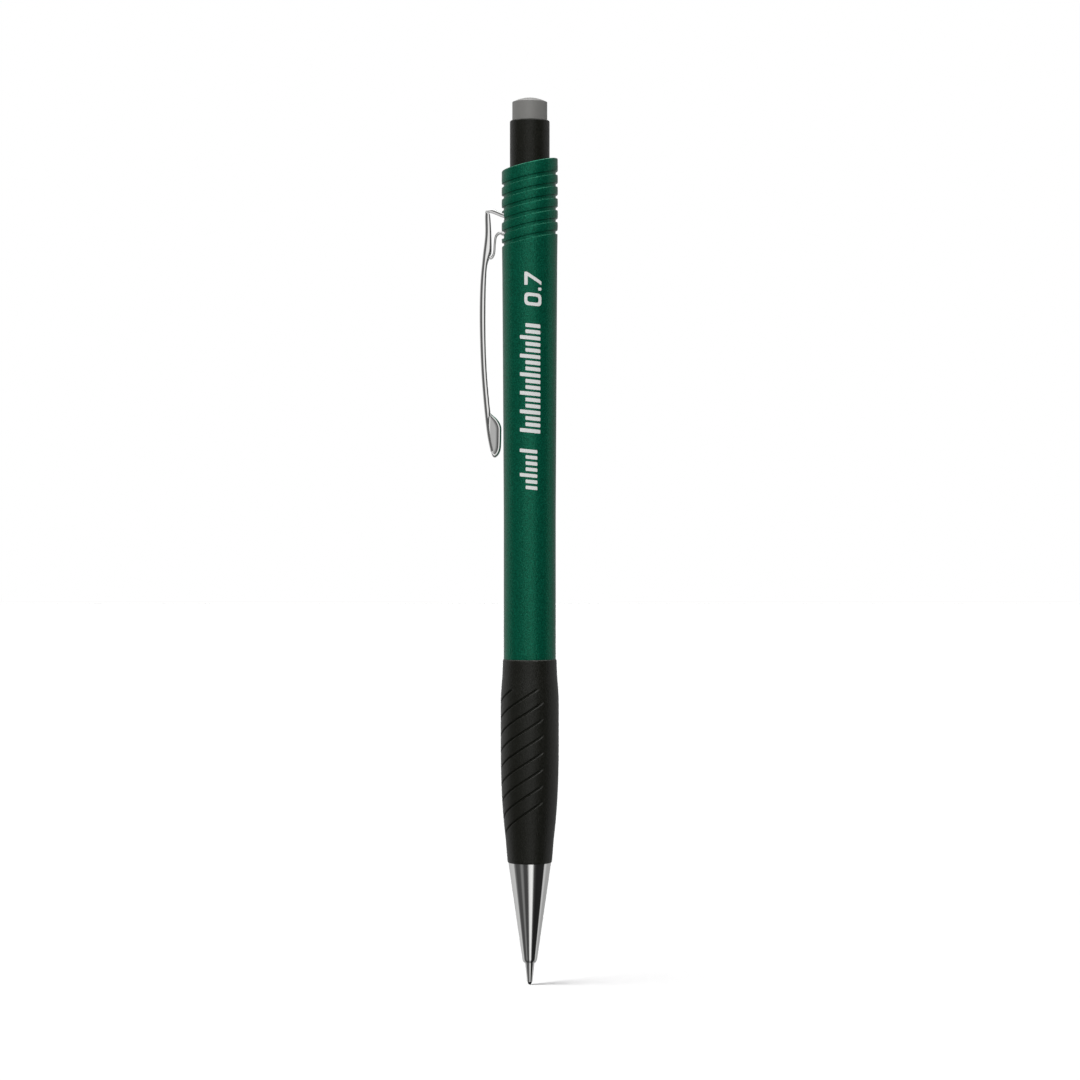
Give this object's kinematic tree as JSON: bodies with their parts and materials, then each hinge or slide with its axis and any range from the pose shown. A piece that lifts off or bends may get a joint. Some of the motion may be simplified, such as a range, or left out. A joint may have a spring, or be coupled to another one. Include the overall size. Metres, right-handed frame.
{
  "type": "push-button mechanical pencil",
  "caption": "Slim push-button mechanical pencil with a ribbed oblique-topped barrel, rubber grip, metal nose cone, sheet-metal pocket clip, working chuck and eraser under the button.",
  "frame": {"origin": "the writing tip, on the pencil's axis", "axes": "+Z along the axis towards the eraser, -X towards the pocket clip, +Y away from the viewer of the front"},
  "size_m": [0.0131, 0.0096, 0.1472],
  "materials": {
    "barrel_green": "satin moulded plastic with a fine metallic grain, dark green",
    "grip_rubber": "matte black moulded rubber with fine slanting grooves",
    "chrome": "bright chrome plate on a turned metal cone",
    "steel": "bright nickel-plated steel",
    "spring_steel": "drawn spring wire",
    "brass": "turned brass, uncoated",
    "inner_plastic": "natural white moulded plastic",
    "tube_plastic": "translucent extruded plastic tube",
    "button_black": "satin black moulded plastic",
    "eraser_grey": "matte grey eraser rubber",
    "retainer_rubber": "soft black rubber",
    "graphite": "polymer-bound graphite with a dull sheen"
  },
  "bodies": {
    "barrel_body": {"barrel": "barrel_green", "grip_sleeve": "grip_rubber", "nose_cone": "chrome", "clutch_housing": "inner_plastic", "return_spring": "spring_steel"},
    "plunger": {"push_button": "button_black", "lead_reservoir": "tube_plastic", "tube_connector": "inner_plastic", "chuck_body": "brass"},
    "jaw_1": {"chuck_jaw_1": "brass"},
    "jaw_2": {"chuck_jaw_2": "brass"},
    "jaw_3": {"chuck_jaw_3": "brass"},
    "ring": {"clutch_ring": "brass"},
    "lead": {"writing_lead": "graphite"},
    "tip": {"tip_sleeve": "steel", "tip_slider": "inner_plastic", "lead_retainer": "retainer_rubber"},
    "eraser_plug": {"eraser": "eraser_grey", "eraser_holder": "inner_plastic"},
    "spares": {"spare_leads": "graphite"},
    "clip": {"pocket_clip": "steel"}
  },
  "joints": [
    {"name": "plunger_press", "type": "slide", "parent": "barrel_body", "child": "plunger", "axis": [0, 0, -1], "range_m": [0, 0.0045], "stiffness_N_per_m": 900, "springref_m": -0.0015, "deforming": ["return_spring"]},
    {"name": "ring_slide", "type": "slide", "parent": "barrel_body", "child": "ring", "axis": [0, 0, -1], "range_m": [0, 0.00114]},
    {"name": "lead_feed", "type": "slide", "parent": "barrel_body", "child": "lead", "axis": [0, 0, -1], "range_m": [0, 0.00092]},
    {"name": "jaw_open_1", "type": "hinge", "parent": "plunger", "child": "jaw_1", "pos_m": [0.00075, 0, 0.029], "axis": [0, -1, 0], "range_deg": [0, 1.85]},
    {"name": "jaw_open_2", "type": "hinge", "parent": "plunger", "child": "jaw_2", "pos_m": [-0.00038, 0.00065, 0.029], "axis": [0.866, 0.5, 0], "range_deg": [0, 1.85]},
    {"name": "jaw_open_3", "type": "hinge", "parent": "plunger", "child": "jaw_3", "pos_m": [-0.00038, -0.00065, 0.029], "axis": [-0.866, 0.5, 0], "range_deg": [0, 1.85]},
    {"name": "tip_retract", "type": "slide", "parent": "barrel_body", "child": "tip", "axis": [0, 0, 1], "range_m": [0, 0.0032]},
    {"name": "eraser_pull", "type": "slide", "parent": "plunger", "child": "eraser_plug", "axis": [0, 0, 1], "range_m": [0, 0.0115]},
    {"name": "spare_slide", "type": "slide", "parent": "plunger", "child": "spares", "axis": [0, 0, 1], "range_m": [0, 0.034]},
    {"name": "clip_flex", "type": "hinge", "parent": "barrel_body", "child": "clip", "pos_m": [-0.0042, 0, 0.1277], "axis": [0, 1, 0], "range_deg": [0, 7], "stiffness_Nm_per_rad": 2.4, "springref_deg": -1.72}
  ],
  "couplings": [
    {"joint": "ring_slide", "follows": "plunger_press", "ratio": 0.25},
    {"joint": "lead_feed", "follows": "plunger_press", "ratio": 0.2},
    {"joint": "jaw_open_1", "follows": "plunger_press", "rad_per_m": 7},
    {"joint": "jaw_open_2", "follows": "plunger_press", "rad_per_m": 7},
    {"joint": "jaw_open_3", "follows": "plunger_press", "rad_per_m": 7}
  ]
}
